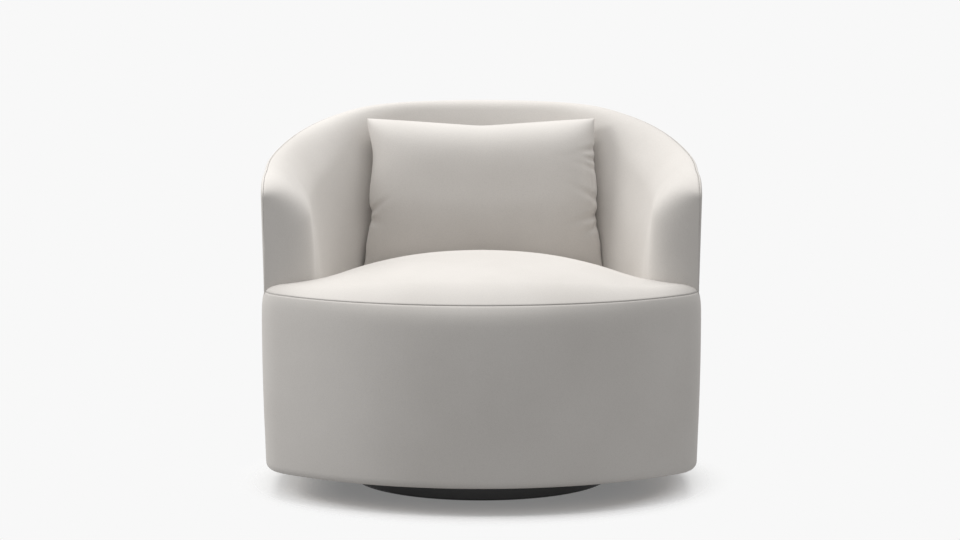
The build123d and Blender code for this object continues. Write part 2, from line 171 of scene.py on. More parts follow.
paper = bpy.data.materials.new("paper_sweep")
paper.use_nodes = True
tree = paper.node_tree
tree.nodes.clear()
paper_seen = tree.nodes.new("ShaderNodeBsdfDiffuse")
paper_seen.inputs["Color"].default_value = floor_seen
paper_glow = tree.nodes.new("ShaderNodeEmission")
paper_glow.inputs["Color"].default_value = (paper_white, paper_white, paper_white, 1)
paper_lit = tree.nodes.new("ShaderNodeMixShader")
paper_lit.inputs[0].default_value = shadow_lift
paper_bounce = tree.nodes.new("ShaderNodeBsdfDiffuse")
paper_bounce.inputs["Color"].default_value = floor_bounce
paper_pick = tree.nodes.new("ShaderNodeMixShader")
clear = tree.nodes.new("ShaderNodeBsdfTransparent")
fade_mix = tree.nodes.new("ShaderNodeMixShader")
coordinates = tree.nodes.new("ShaderNodeTexCoord")
reach = tree.nodes.new("ShaderNodeVectorMath")
reach.operation = "LENGTH"
fade = tree.nodes.new("ShaderNodeMapRange")
fade.interpolation_type = "SMOOTHSTEP"
fade.inputs["From Min"].default_value = fade_start
fade.inputs["From Max"].default_value = fade_end
paper_out = tree.nodes.new("ShaderNodeOutputMaterial")
wire(tree, [(seen_directly(tree), paper_pick.inputs[0]),
            (paper_bounce.outputs[0], paper_pick.inputs[1]),
            (paper_seen.outputs[0], paper_lit.inputs[1]), (paper_glow.outputs[0], paper_lit.inputs[2]),
            (paper_lit.outputs[0], paper_pick.inputs[2]),
            (coordinates.outputs["Object"], reach.inputs[0]),
            (reach.outputs["Value"], fade.inputs["Value"]),
            (fade.outputs["Result"], fade_mix.inputs[0]), (paper_pick.outputs[0], fade_mix.inputs[1]),
            (clear.outputs[0], fade_mix.inputs[2]), (fade_mix.outputs[0], paper_out.inputs["Surface"])])
floor.data.materials.append(paper)
print("paper: fades from", fade_start, "to", fade_end, "m")

# %% [markdown]
# Every finish here is worked out from noise, with no pictures, so it has no seams and any
# scale. A few helpers keep the node trees readable: one adds a node, one a noise, one a
# colour ramp, one mixes two colours and one stretches a value to a range.

# %% Helpers for finishes
def node(tree, kind, **values):
    item = tree.nodes.new(kind)
    for name, value in values.items():
        if name in item.inputs:
            item.inputs[name].default_value = value
        else:
            setattr(item, name, value)
    return item


def noise(tree, vector, scale, detail=2.0, rough=0.5):
    item = node(tree, "ShaderNodeTexNoise", Scale=scale, Detail=detail, Roughness=rough)
    tree.links.new(vector, item.inputs["Vector"])
    return item.outputs["Fac"]


def colour_ramp(tree, factor, stops):
    ramp = tree.nodes.new("ShaderNodeValToRGB")
    while len(ramp.color_ramp.elements) < len(stops):
        ramp.color_ramp.elements.new(0.5)
    for element, (place, colour) in zip(ramp.color_ramp.elements, stops):
        element.position = place
        element.color = colour
    tree.links.new(factor, ramp.inputs["Fac"])
    return ramp.outputs["Color"]


def mix_colour(tree, factor, one, two, blend="MIX"):
    mix = tree.nodes.new("ShaderNodeMix")
    mix.data_type = "RGBA"
    mix.blend_type = blend
    if isinstance(factor, float):
        mix.inputs["Factor"].default_value = factor
    else:
        tree.links.new(factor, mix.inputs["Factor"])
    for place, value in ((6, one), (7, two)):
        if isinstance(value, tuple):
            mix.inputs[place].default_value = value
        else:
            tree.links.new(value, mix.inputs[place])
    return mix.outputs[2]


def spread(tree, value, low, high):
    item = node(tree, "ShaderNodeMapRange")
    item.inputs["To Min"].default_value = low
    item.inputs["To Max"].default_value = high
    tree.links.new(value, item.inputs["Value"])
    return item.outputs["Result"]


print("helpers: node, noise, colour_ramp, mix_colour, spread")

# %% [markdown]
# The cover cloth is a soft, short-piled plain weave in a warm pale grey. Close up it has
# a fine grain, a few flecks of lighter yarn, and broad shading where the pile leans.
# Three noises at real scale give that: yarn grain, fleck, and slow shading.
# Object coordinates in metres keep the scale true on each piece.

# %% Cloth finish
cloth_light = (0.632, 0.607, 0.580, 1)
cloth_dark = (0.552, 0.527, 0.500, 1)
cloth_sheen = 0.25
sheen_tint = (1.0, 0.98, 0.95, 1)
sheen_rough = 0.45
cloth_specular = 0.22
yarn_height = 0.0006
fleck_scale = 0.35
fleck_share = 0.22
shade_scale = 5.0
weave_share = 0.34


def cloth_finish(name, light, dark, grain=900.0, bump=0.22):
    finish = bpy.data.materials.new(name)
    finish.use_nodes = True
    tree = finish.node_tree
    shader = tree.nodes["Principled BSDF"]
    place = tree.nodes.new("ShaderNodeTexCoord").outputs["Object"]
    yarn = noise(tree, place, grain, 3.0, 0.6)
    fleck = noise(tree, place, grain * fleck_scale, 2.0, 0.7)
    shade = noise(tree, place, shade_scale, 3.0, 0.5)
    tone = colour_ramp(tree, shade, [(0.30, dark), (0.70, light)])
    pale = tuple(min(1.0, c * 1.10) for c in light[:3]) + (1,)
    deep = tuple(c * 0.86 for c in dark[:3]) + (1,)
    weave = colour_ramp(tree, yarn, [(0.34, deep), (0.50, light), (0.68, pale)])
    body = mix_colour(tree, weave_share, tone, weave)
    flecked = mix_colour(tree, spread(tree, fleck, 0.0, fleck_share), body, pale)
    tree.links.new(flecked, shader.inputs["Base Color"])
    tree.links.new(spread(tree, yarn, 0.80, 0.98), shader.inputs["Roughness"])
    shader.inputs["Sheen Weight"].default_value = cloth_sheen
    shader.inputs["Sheen Roughness"].default_value = sheen_rough
    shader.inputs["Sheen Tint"].default_value = sheen_tint
    shader.inputs["Specular IOR Level"].default_value = cloth_specular
    raise_yarn = node(tree, "ShaderNodeBump", Strength=bump, Distance=yarn_height)
    tree.links.new(yarn, raise_yarn.inputs["Height"])
    tree.links.new(raise_yarn.outputs["Normal"], shader.inputs["Normal"])
    return finish


cover_cloth = cloth_finish("cover_cloth", cloth_light, cloth_dark)
print("cloth:", cover_cloth.name)

# %% [markdown]
# Most covers here are sheets sewn to a curved seam, so they share one plan line: a half
# circle at the back, two straight sides, two rounded corners and a bowed front.
# The drum and the seat edge walk the whole line. The wall uses only its back and sides.

# %% Plan line of the chair
half_width = 0.410
back_y = -0.025
corner_x = 0.320
corner_y = -0.16974
corner_radius = 0.090
front_y = 0.1745
front_radius = 0.560
front_angle = math.atan2(corner_x, front_y - corner_y)


def plan_pieces(inset):
    """Lengths of back, side, corner and front on one side, and the angle of the corner."""
    back = (half_width - inset) * math.pi / 2
    side = back_y - corner_y
    turn = math.pi / 2 - front_angle
    corner = (corner_radius - inset) * turn
    front = (front_radius - inset) * front_angle
    return back, side, corner, front, turn


def plan_point(share, inset):
    """A point of the plan line: share 0 is the middle of the back, 0.5 the middle of the front."""
    share = share % 1.0
    mirror = 1.0
    if share > 0.5:
        share = 1.0 - share
        mirror = -1.0
    back0, side0, corner0, front0, turn = plan_pieces(0.0)
    run = share * 2 * (back0 + side0 + corner0 + front0)
    if run <= back0:
        angle = run / back0 * math.pi / 2
        x = (half_width - inset) * math.sin(angle)
        y = back_y + (half_width - inset) * math.cos(angle)
    elif run <= back0 + side0:
        x = half_width - inset
        y = back_y - (run - back0)
    elif run <= back0 + side0 + corner0:
        angle = (run - back0 - side0) / corner0 * turn
        x = corner_x + (corner_radius - inset) * math.cos(angle)
        y = corner_y - (corner_radius - inset) * math.sin(angle)
    else:
        angle = front_angle * (1 - (run - back0 - side0 - corner0) / front0)
        x = (front_radius - inset) * math.sin(angle)
        y = front_y - (front_radius - inset) * math.cos(angle)
    return mirror * x, y


print("plan line:", [round(1000 * p) for p in plan_pieces(0.0)[:4]], "mm pieces")

# %% [markdown]
# A cover is cut flat and pulled over a form. Here a flat grid is the cut cloth, and a place
# function says where each knot of it goes. Edges that meet are sewn by merging their knots.
# One helper lays the grid, and another gives the piece its cloth and its body.

# %% Laying and sewing cloth
sewing_gap = 0.00001


def cloth_grid(mesh, columns, rows, place):
    """A grid laid over a shape: place(u, v) puts each knot, and knots that meet are sewn."""
    knots = bmesh.ops.create_grid(mesh, x_segments=columns, y_segments=rows, size=1.0)["verts"]
    for knot in knots:
        knot.co = place((knot.co.x + 1) / 2, (knot.co.y + 1) / 2)
    bmesh.ops.remove_doubles(mesh, verts=mesh.verts, dist=sewing_gap)


def finish_piece(mesh, name, material, body, replaced):
    """Turns a bmesh into a shown piece that rides on a CAD body."""
    bmesh.ops.recalc_face_normals(mesh, faces=mesh.faces)
    data = bpy.data.meshes.new(name)
    mesh.to_mesh(data)
    mesh.free()
    data.polygons.foreach_set("use_smooth", [True] * len(data.polygons))
    data.materials.append(material)
    piece = bpy.data.objects.new(name, data)
    scene.collection.objects.link(piece)
    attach(piece, body)
    if replaced:
        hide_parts(*replaced)
    print(name, len(data.polygons), "faces")
    return piece


print("cloth is sewn where knots lie within", sewing_gap * 1000, "mm")

# %% [markdown]
# The drum band is a strip of cloth pulled tight over a foam-wrapped drum. It is widest just
# below the seam, draws in a little towards the bottom, rolls in under it, and tucks into the
# seam at the top.
# A grid is wrapped round the plan line, one row for each step of the profile, and its
# last row meets the first, so the band is a closed ring of padding.

# %% Drum band
drum_bottom = 0.0495
seam_height = 0.388
drum_round = 0.016
drum_low_inset = 0.006
band_columns = 288
roll_foot = 0.345
front_roll = 0.009
front_reach = 0.150
round_steps = 8

# Profile of the band: how far in from the plan line, and how far below the seam or how high
below_seam = [(0.0125, 0.0070), (0.0080, 0.0022), (0.0064, 0.0006), (0.0054, 0.0010), (0.0044, 0.0040),
              (0.0032, 0.0080), (0.0020, 0.0140), (0.0012, 0.0200), (0.0006, 0.0280), (0.0002, 0.0380)]
band_face = [(0.0, 0.333), (0.0002, 0.290), (0.0006, 0.250), (0.0016, 0.200),
             (0.0030, 0.150), (0.0046, 0.108), (0.0055, 0.080)]
band_profile = [(inset, seam_height - below) for inset, below in below_seam] + band_face
for step in range(round_steps + 1):
    angle = step / round_steps * math.pi / 2
    band_profile.append((drum_low_inset + drum_round * (1 - math.cos(angle)),
                         drum_bottom + drum_round * (1 - math.sin(angle))))
# Under the drum and up its inside, back to the seam
band_profile += [(0.042, drum_bottom + 0.0006), (0.044, drum_bottom + 0.008), (0.030, 0.110),
                 (0.024, 0.340), (0.018, seam_height - 0.012)]
band_profile.append(band_profile[0])


def front_share(u):
    """1 in the middle of the front, falling to nothing at the corners."""
    across = min(1.0, abs(u - 0.5) / front_reach)
    return (1 - across * across) ** 2


def band_place(u, v):
    inset, height = band_profile[round(v * (len(band_profile) - 1))]
    if height > roll_foot:
        inset += front_roll * front_share(u) * ((height - roll_foot) / (seam_height - roll_foot)) ** 2
    x, y = plan_point(u, inset)
    return x, y, height


band_mesh = bmesh.new()
cloth_grid(band_mesh, band_columns, len(band_profile) - 1, band_place)
finish_piece(band_mesh, "drum_band", cover_cloth, "chair", ["boxing_cover", "boxing_pad"])

# %% [markdown]
# The seat is one crowned panel sewn to the top of the band. It rises from the front seam
# in a soft roll to a crown, then falls away to the back, where the pillow sits, and to the
# arms. Its height is a lip along the seam, a bell across the width, and a ridge line that
# runs nearer to the front at the sides, so the crown hides the foot of the wall.
# A height for each place is simpler than stuffing: the pillow can ask for it too.

# %% Measures of the seat
seat_inset = 0.0059
lip_start = 0.0010
lip_rise = 0.0100
lip_run = 0.040
lip_more = 0.008
lip_longer = 0.025
bell_rise = 0.0485
bell_width = 0.274
bell_power = 3.0
ridge_y = -0.060
ridge_swing = 0.135
ridge_half = 0.350
ridge_limit = 1.2
ridge_power = 1.5
ridge_clear = 0.030
rise_power = 2.2
crown_fall = 0.240
crown_tuck = 0.080
back_level = seam_height + 0.002
nose_y = -0.190
wall_inside = 0.318
pull_down = 0.024
pull_run = 0.040
pull_start = 0.050
side_dip = 0.0025
dip_place = 0.285
dip_width = 0.055
print("seat ridge", round(ridge_y - front_y + front_radius, 3), "m behind the front")

# %% Height of the seat
def soft_share(value):
    """0 below 0, 1 above 1, and a smooth step between."""
    value = max(0.0, min(1.0, value))
    return value * value * (3 - 2 * value)


def middle_share(x):
    """front_share for a distance from the middle of the front."""
    run = front_radius * math.asin(min(1.0, abs(x) / front_radius))
    return front_share(0.5 + run / (2 * sum(plan_pieces(0.0)[:4])))


def front_line(x):
    """Where the front seam lies at a distance from the middle."""
    x = min(abs(x), half_width - seat_inset)
    arc = front_radius - seat_inset - front_roll * middle_share(x)
    if x <= arc * math.sin(front_angle):
        return front_y - math.sqrt(arc * arc - x * x)
    turn = corner_radius - seat_inset
    return corner_y - math.sqrt(max(0.0, turn * turn - (x - corner_x) ** 2))


def seat_height(x, y):
    """Height of the seat above the floor."""
    front = front_line(x)
    behind = max(0.0, y - front)
    edge = min(behind, max(0.0, half_width - seat_inset - abs(x)))
    middle = middle_share(x)
    over = 1 - min(1.0, edge / (lip_run + lip_longer * middle))
    lip = lip_start + (lip_rise + lip_more * middle) * (1 - over ** 2)
    bell = bell_rise * math.exp(-(abs(x) / bell_width) ** bell_power) - lip_more * middle
    bell -= side_dip * math.exp(-((abs(x) - dip_place) / dip_width) ** 2)
    ridge = ridge_y - ridge_swing * min(ridge_limit, abs(x) / ridge_half) ** ridge_power
    ridge = max(ridge, front + ridge_clear)
    if y <= ridge:
        share = behind / (ridge - front)
        return seam_height + lip + bell * (1 - (1 - share) ** rise_power)
    reach = crown_fall - crown_tuck * min(1.0, abs(x) / ridge_half)
    fall = 0.5 + 0.5 * math.cos(math.pi * min(1.0, (y - ridge) / reach))
    level = back_level + (seam_height + lip + bell - back_level) * fall
    to_wall = max(0.0, wall_inside - math.hypot(x, max(0.0, y - back_y)))
    pull = pull_down * soft_share((y - nose_y) / pull_start) * soft_share((y - ridge) / pull_start)
    return level - pull * math.exp(-(to_wall / pull_run) ** 2)


print("seat crown", round(seat_height(0.0, ridge_y), 4), "m above the floor")

# %% [markdown]
# The seat panel is sewn to the top of the band all round. It is laid as rings, one for each
# row of the grid: the first is drawn to a point underneath and closes the panel, a few turn
# out of the seam, and the rest shrink to the middle of the seat.

# %% Seat panel
seat_middle_y = -0.0415
seat_rows = 56
seat_under = 0.360
ring_crowding = 1.35
seat_edge = [(0.0130, -0.0068), (0.0084, -0.0021), (0.0068, -0.0006), (0.0059, 0.0003)]


def seat_place(u, v):
    row = round(v * (seat_rows + len(seat_edge) + 1)) - 1
    if row < 0:
        return 0.0, seat_middle_y, seat_under
    if row < len(seat_edge):
        inset, lift = seat_edge[row]
        x, y = plan_point(u, inset + front_roll * front_share(u))
        return x, y, seam_height + lift
    inward = (row - len(seat_edge) + 1) / (seat_rows + 1)
    x, y = plan_point(u, seat_edge[-1][0] + front_roll * front_share(u))
    shrink = 1 - inward ** ring_crowding
    x = x * shrink
    y = seat_middle_y + (y - seat_middle_y) * shrink
    return x, y, seat_height(x, y)


seat_mesh = bmesh.new()
cloth_grid(seat_mesh, band_columns, seat_rows + len(seat_edge) + 1, seat_place)
finish_piece(seat_mesh, "seat_panel", cover_cloth, "chair", ["seat_cover", "seat_foam"])

# %% [markdown]
# The back and both arms are one wall. Laid flat it is a strip: its run q round the back
# against its height z, with depth measured inwards from the outer line. Its top line is
# level at the back, falls to the arms and rounds down at the arm fronts.
# Bending the strip with one function keeps every panel on the same curve.

# %% Crest of the wall
crest_height = 0.690
crown_rise = 0.010
crown_half = 0.250
crown_blend = 0.300
crest_turn = 0.300
crest_slope = 0.30
crest_soft = 0.040
arm_turn = 0.090
arm_slope = 0.19
front_turn = -0.050
front_slope = 0.0
quarter_run = half_width * math.pi / 2
nose_run = 0.080
nose_drop = 0.036
nose_q = quarter_run + back_y - nose_y


def spot(q, depth, z):
    """A point of the wall: run q from the middle of the back, depth in from the outer line."""
    if abs(q) <= quarter_run:
        angle = q / half_width
        return Vector(((half_width - depth) * math.sin(angle),
                       back_y + (half_width - depth) * math.cos(angle), z))
    return Vector((math.copysign(half_width - depth, q), back_y - (abs(q) - quarter_run), z))


def soft_step(run):
    """0 before a turn and the run past it after, with a soft bend between."""
    return (run + math.hypot(run, crest_soft)) / 2


def past_crown(q):
    """0 at the back and 1 on the arms."""
    return soft_share((abs(q) - crown_half) / crown_blend)


def crest_line(q):
    """Top line before its fronts are rounded: level at the back, falling to arms that end level."""
    y = spot(q, 0.0, 0.0).y
    fall = crest_slope * soft_step(crest_turn - y)
    fall -= (crest_slope - arm_slope) * soft_step(arm_turn - y)
    fall -= (arm_slope - front_slope) * soft_step(front_turn - y)
    return crest_height + crown_rise * (1 - past_crown(q)) - fall


def crest(q):
    """Top line of the wall, with the arm fronts rounded down."""
    to_tip = max(0.0, nose_q - abs(q))
    share = max(0.0, 1 - to_tip / nose_run)
    return crest_line(q) - nose_drop * (1 - math.sqrt(1 - share * share))


print("wall strip:", round(2 * nose_q, 3), "m long")
print("crest:", round(crest(0.0), 3), "m at the back,", round(crest(nose_q), 3), "m at the tips")

# %% [markdown]
# The inside and the outside panel meet in a knife seam along the outer edge of the crest and
# down the arm fronts. At the back it lies a little below the crown of the padding.
# Both panels ask where it lies and which way it runs, so the seam is walked once in small
# steps and kept in a search tree.

# %% Knife seam
seam_in = 0.0055
seam_sink = 0.0008
fall_back = 0.012
fall_arm = 0.002
crest_steps = 600
nose_steps = 90
seam_step = 0.001
seam_overrun = 20


def seam_fall(q):
    """How far the knife seam lies below the crown of the roll: most at the back."""
    return fall_back + (fall_arm - fall_back) * past_crown(q)


def seam_top(q):
    return crest(q) - seam_fall(q)


edge_line = []
level_q = nose_q - nose_run
for i in range(2 * crest_steps + 1):
    q = level_q * (i / crest_steps - 1)
    edge_line.append(Vector((q, seam_top(q), 0)))
for i in range(1, nose_steps + 1):
    q = level_q + nose_run * math.sin(i / nose_steps * math.pi / 2)
    edge_line.append(Vector((q, seam_top(q), 0)))
    edge_line.insert(0, Vector((-q, seam_top(q), 0)))
tip = seam_top(nose_q)
for i in range(1, round((tip - seam_height) / seam_step) + seam_overrun):
    edge_line.append(Vector((nose_q, tip - i * seam_step, 0)))
    edge_line.insert(0, Vector((-nose_q, tip - i * seam_step, 0)))
edge_tree = KDTree(len(edge_line))
for i, point in enumerate(edge_line):
    edge_tree.insert(point, i)
edge_tree.balance()
print("knife seam walked in", len(edge_line), "points")

# %% Distance from the seam
def from_seam(q, z):
    """Distance, on the flat strip, from a point to the knife seam."""
    point = Vector((q, z, 0))
    _, i, best = edge_tree.find(point)
    for j in (i - 1, i):
        if 0 <= j < len(edge_line) - 1:
            a = edge_line[j]
            b = edge_line[j + 1]
            share = max(0.0, min(1.0, (point - a).dot(b - a) / (b - a).length_squared))
            best = min(best, (point - a.lerp(b, share)).length)
    return best


def into_seam(q, z):
    """The direction, on the flat strip, from the seam into the panel."""
    _, i, _ = edge_tree.find(Vector((q, z, 0)))
    way = edge_line[min(i + 1, len(edge_line) - 1)] - edge_line[max(i - 1, 0)]
    return Vector((way.y, -way.x)).normalized()


print("seat to knife seam at the back:", round(from_seam(0.0, seam_height), 3), "m")

# %% [markdown]
# The wall is padded on its inside only. The foam is thickest at the seat and thins to the
# crest, most at the shoulders and least at the arm fronts. It ends in quarter rolls: a tight,
# square one along the back, a wide, round one on the arms, and one between at the arm fronts.
# A few measures along the run say how thick the foam is, with a smooth line between them.

# %% Padding of the wall
pad_puff = 0.004
roll_back = 0.036
roll_arm = 0.078
square_back = 6.0
square_arm = 2.0
shoulder_start = 0.120
shoulder_blend = 0.330

# Padding at the seat and at the crest, and how late it thins, by run from the middle of the back
low_pad = [(0.0, 0.095), (0.30, 0.095), (0.45, 0.103), (0.62, 0.103), (0.81, 0.097)]
high_pad = [(0.0, 0.060), (0.30, 0.051), (0.45, 0.055), (0.62, 0.068), (0.81, 0.083)]
pad_power = [(0.0, 3.0), (0.30, 2.0), (0.45, 1.5), (0.62, 1.2), (0.81, 1.2)]


def along(points, place):
    """A smooth line through points that are given from low to high."""
    for (a, one), (b, two) in zip(points, points[1:]):
        if place <= b:
            return one + (two - one) * soft_share((place - a) / (b - a))
    return points[-1][1]


def padding(q, z):
    """Depth of the inside face, before the rolls."""
    rise = max(0.0, min(1.0, (z - seam_height) / (crest(q) - seam_height)))
    low = along(low_pad, abs(q))
    high = along(high_pad, abs(q))
    return low + (high - low) * rise ** along(pad_power, abs(q)) + pad_puff * math.sin(math.pi * rise)


def quarter_roll(turn, square):
    """Fall and reach of a quarter roll at a turn from 0 to 1: round, or squarer for more."""
    turn = turn * math.pi / 2
    return 1 - math.cos(turn) ** (2 / square), math.sin(turn) ** (2 / square)


print("padding:", low_pad[0][1], "m at the seat and", high_pad[0][1], "m at the crest of the back")

# %% [markdown]
# The inside panel starts in the knife seam, crosses the top in its roll and runs down to the
# seat, where it tucks in. Its back lies against the outside panel, and both sides meet at
# the seam, so foam and cover make one closed pad. Columns crowd to the arm fronts and rows
# to the crest, where the form turns fastest.

# %% Inside panel of the wall
roll_rows = 22
face_rows = 16
inside_columns = 300
nose_columns = 34
nose_crowding = 2.0
roll_crowding = 1.3
roll_nose = 0.060
square_nose = 3.0
tuck_height = seam_height - 0.032
crown_reach = 0.046
crown_curve = 1.5
back_drop = 0.002
back_gap = 0.0015


def nose_column(u):
    """Run of a column, and its share of the padding: columns crowd to the arm fronts."""
    side = 1 if u > 0.5 else -1
    column = round(abs(u - 0.5) * inside_columns)
    from_tip = inside_columns // 2 - column
    if from_tip >= nose_columns:
        flat = inside_columns // 2 - nose_columns
        return side * (nose_q - roll_nose) * column / flat, 1.0
    back, reach = quarter_roll((from_tip / nose_columns) ** nose_crowding, square_nose)
    return side * (nose_q - roll_nose * back), reach


def inside_place(u, v):
    rows = roll_rows + face_rows
    row = round(v * rows * 2)
    front = row <= rows
    if not front:
        row = 2 * rows - row
    q, round_nose = nose_column(u)
    top = crest(q)
    arm = soft_share((abs(q) - shoulder_start) / shoulder_blend)
    roll = roll_back + (roll_arm - roll_back) * arm
    square = square_back + (square_arm - square_back) * arm
    fall, round_top = quarter_roll(min(1.0, row / roll_rows) ** roll_crowding, square)
    z = top - roll * fall
    if row > roll_rows:
        z -= (z - tuck_height) * (row - roll_rows) / face_rows
    depth = seam_in + (padding(q, z) - seam_in) * round_top * round_nose
    z -= seam_fall(q) * (1 - min(1.0, (depth - seam_in) / crown_reach)) ** crown_curve
    if row == 0 or round_nose == 0.0:
        step = into_seam(q, z) * seam_sink
        return spot(q + step.x, seam_in, z + step.y)
    if not front:
        z = seam_top(q) - back_drop
        return spot(q, seam_in + back_gap, z - (z - tuck_height) * row / rows)
    return spot(q, depth, z)


inside_mesh = bmesh.new()
cloth_grid(inside_mesh, inside_columns, (roll_rows + face_rows) * 2, inside_place)
finish_piece(inside_mesh, "inside_panel", cover_cloth, "chair", ["inside_back_cover", "inside_back_foam"])

# %% [markdown]
# The outside panel is thin: cloth over wadding on a hardboard skin. It leans in a little
# towards the waist, turns over at the top into the knife seam and turns under at the foot.
# It is the same strip again, with a small rounded lip along the seam.

# %% Outside panel of the wall
foot_height = seam_height + 0.0006
foot_lean = 0.005
foot_tuck = 0.004
lean_top = 0.010
panel_lip = 0.008
panel_gap = 0.0002
lip_ease = 0.001
cloth_thick = 0.0012
wadding = 0.0045
outside_rows = 30
outside_columns = 300
tip_run = 0.020
tip_columns = 0.11
top_band = 0.10
at_end = 1e-6


def lean(q, z):
    """How far the outside face leans in towards the waist."""
    high = crest_line(q) - lean_top
    return foot_lean * max(0.0, (high - z) / (high - seam_height))


def run_of(u):
    """Run of a column: columns crowd together towards both arm fronts."""
    side = 1 if u > 0.5 else -1
    share = abs(u - 0.5) * 2
    if share > 1 - tip_columns:
        turn = (1 - share) / tip_columns * math.pi / 2
        return side * (nose_q - tip_run * (1 - math.cos(turn)))
    return side * (nose_q - tip_run) * share / (1 - tip_columns)


def outside_place(u, v):
    row = round(v * outside_rows * 2)
    front = row <= outside_rows
    if not front:
        row = 2 * outside_rows - row
    q = run_of(u)
    on_tip = u < at_end or u > 1 - at_end
    top = seam_top(q)
    half = outside_rows // 2
    if row <= half:
        share = top_band * (1 - math.cos(row / half * math.pi / 2))
    else:
        share = top_band + (1 - top_band) * (row - half) / (outside_rows - half)
    z = top - share * (top - foot_height)
    if row == 0 or on_tip:
        step = into_seam(q, z) * seam_sink
        return spot(q + step.x, seam_in - panel_gap, z + step.y)
    t = from_seam(q, z)
    over = 1 - min(1.0, t / panel_lip)
    turn = (seam_in - lip_ease) * (1 - math.sqrt(max(0.0, 1 - over * over)))
    foot = foot_tuck * math.exp(-((z - foot_height) / foot_tuck) ** 2)
    depth = lean(q, z) + turn + foot
    if not front:
        depth = max(depth + cloth_thick, lean(q, z) + wadding)
    return spot(q, depth, z)


outside_mesh = bmesh.new()
cloth_grid(outside_mesh, outside_columns, outside_rows * 2, outside_place)
finish_piece(outside_mesh, "outside_panel", cover_cloth, "chair", ["outside_back_cover", "outside_wadding"])

# %% [markdown]
# The pillow is two sheets of cloth sewn face to face and stuffed. Where the seam takes up
# spare cloth, the sides pucker into a few short folds that draw the edge in.
# A cloth simulation gives folds of its own choosing, so these are placed one by one: each is
# a short groove with a soft ridge on both sides, deepest just inside the seam.

# %% Outline and folds of the pillow
# Half width to the left and to the right, from the foot at -1 to the top at 1
left_edge = [(-1.0, 0.2300), (-0.75, 0.2265), (-0.28, 0.2175),
             (-0.05, 0.2195), (0.50, 0.2125), (1.0, 0.2235)]
right_edge = [(-1.0, 0.2370), (-0.75, 0.2335), (-0.30, 0.2255),
              (-0.10, 0.2270), (0.55, 0.2210), (1.0, 0.2210)]
seam_flat = 0.03
ridge_share = 0.45
ridge_place = 1.7
draw_share = 0.55
draw_reach = 0.05

# Each fold: side, place up the side, reach inwards, depth, width, slope
folds = [(-1, -0.22, 0.07, 0.0080, 0.040, 0.90), (-1, -0.33, 0.05, 0.0050, 0.050, -0.40),
         (1, 0.60, 0.07, 0.0050, 0.040, -0.30), (1, 0.45, 0.06, 0.0050, 0.032, 0.30),
         (1, 0.33, 0.08, 0.0035, 0.036, 0.60), (1, -0.06, 0.08, 0.0060, 0.045, 0.80),
         (1, -0.26, 0.09, 0.0075, 0.045, -0.50), (1, -0.40, 0.06, 0.0040, 0.040, -0.90)]


def pucker(a, b):
    """Depth of the folds at a place on the pillow, and how far they draw the side in."""
    depth = 0.0
    draw = 0.0
    for side, place, reach, deep, wide, slope in folds:
        inward = 1 - side * a
        across = (b - place - slope * inward) / wide
        groove = math.exp(-across * across)
        ridge = ridge_share * math.exp(-(abs(across) - ridge_place) ** 2)
        depth += deep * math.exp(-inward / reach) * min(1.0, inward / seam_flat) * (groove - ridge)
        draw += draw_share * deep * math.exp(-inward / draw_reach) * groove
    return depth, draw


print("pillow:", len(folds), "folds")

# %% [markdown]
# The stuffing swells the middle of the pillow and leaves the corners flat, so the top edge
# dips between them. The pillow leans on the curved wall and rests on the seat, and both
# press it: its back gives way to the wall and its foot to the seat.
# The two sheets share one outline, one for each face, and are sewn along it.

# %% Pillow
pillow_place = Vector((0.0, 0.194, 0.5255))
pillow_tilt = math.radians(-8)
pillow_lean = Matrix.Translation(pillow_place) @ Matrix.Rotation(pillow_tilt, 4, "X")
pillow_columns = 120
pillow_rows = 88
half_thick = 0.066
side_square = 6
top_square = 4
foot_power = 0.90
corner_rise = 0.1485
middle_dip = 0.0150
dip_round = 0.004
dip_power = 1.1
foot_drop = 0.150
thin_edge = 0.0004
edge_knots = 0.4999
rest_gap = 0.0015


def wall_behind(x, z):
    """How far back the curved wall lets a point of the pillow go."""
    q = half_width * math.asin(min(1.0, abs(x) / wall_inside))
    reach = half_width - padding(q, z) - rest_gap
    return back_y + math.sqrt(max(0.0, reach * reach - x * x))


def swell(a, b):
    """Share of the full thickness: full nearly to the sides, and fuller above than below."""
    up = (1 - b ** top_square) ** 0.5 if b > 0 else (1 - b * b) ** foot_power
    return (1 - a ** side_square) ** 0.5 * up


def sheet_place(face):
    """The place function of one face: -1 the front, 1 the back."""
    def place(u, v):
        a = math.sin((u - 0.5) * math.pi)
        b = math.sin((v - 0.5) * math.pi)
        depth, draw = pucker(a, b)
        half = along(left_edge, b) + (along(right_edge, b) - along(left_edge, b)) * (1 + a) / 2
        rise = corner_rise - middle_dip * max(0.0, 1 - math.sqrt(a * a + dip_round)) ** dip_power
        x = a * half - math.copysign(draw, a)
        z = (b + 1) / 2 * (rise + foot_drop) - foot_drop
        thick = max(0.0, half_thick * swell(a, b) - depth)
        if max(abs(u - 0.5), abs(v - 0.5)) < edge_knots:
            thick = max(thick, thin_edge)
        back = pillow_lean @ Vector((x, thick, z))
        push = max(0.0, back.y - wall_behind(back.x, back.z))
        knot = pillow_lean @ Vector((x, face * thick, z))
        knot.y -= push if face > 0 else push * (1 - min(1.0, 2 * thick / half_thick))
        knot.z = max(knot.z, seat_height(knot.x, knot.y) + rest_gap)
        return knot
    return place


pillow_mesh = bmesh.new()
cloth_grid(pillow_mesh, pillow_columns, pillow_rows, sheet_place(-1))
cloth_grid(pillow_mesh, pillow_columns, pillow_rows, sheet_place(1))
pillow = finish_piece(pillow_mesh, "pillow", cover_cloth, "pillow", ["pillow_cover", "pillow_insert"])
smooth = pillow.modifiers.new("soft", "SUBSURF")
smooth.levels = 1
smooth.render_levels = 1

